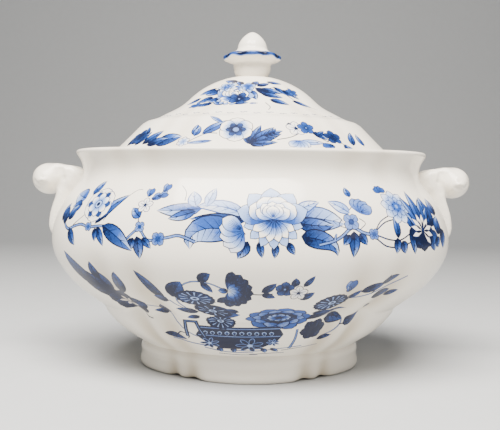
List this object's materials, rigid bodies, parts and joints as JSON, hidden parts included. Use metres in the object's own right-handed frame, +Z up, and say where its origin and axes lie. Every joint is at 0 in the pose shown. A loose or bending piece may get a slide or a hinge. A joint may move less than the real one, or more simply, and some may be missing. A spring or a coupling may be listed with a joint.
{
  "type": "soup tureen",
  "caption": "Oval lobed earthenware soup tureen with scroll lug handles, scalloped foot ring and a domed lift-off lid with a finial.",
  "frame": {"origin": "on the table, under the middle of the foot ring", "axes": "+X along the length from the left handle to the right one, -Y the front, +Z up"},
  "size_m": [0.32, 0.2296, 0.2438],
  "materials": {
    "printed_glaze": "gloss",
    "cream_glaze": "gloss"
  },
  "bodies": {
    "tureen": {"bowl": "printed_glaze", "ledge": "cream_glaze", "foot": "cream_glaze", "handle_left": "cream_glaze", "handle_right": "cream_glaze"},
    "cover": {"lid": "printed_glaze", "finial": "cream_glaze"}
  },
  "joints": [
    {"name": "lid_lift", "type": "slide", "parent": "tureen", "child": "cover", "axis": [0, 0, 1], "range_m": [0, 0.12]}
  ]
}
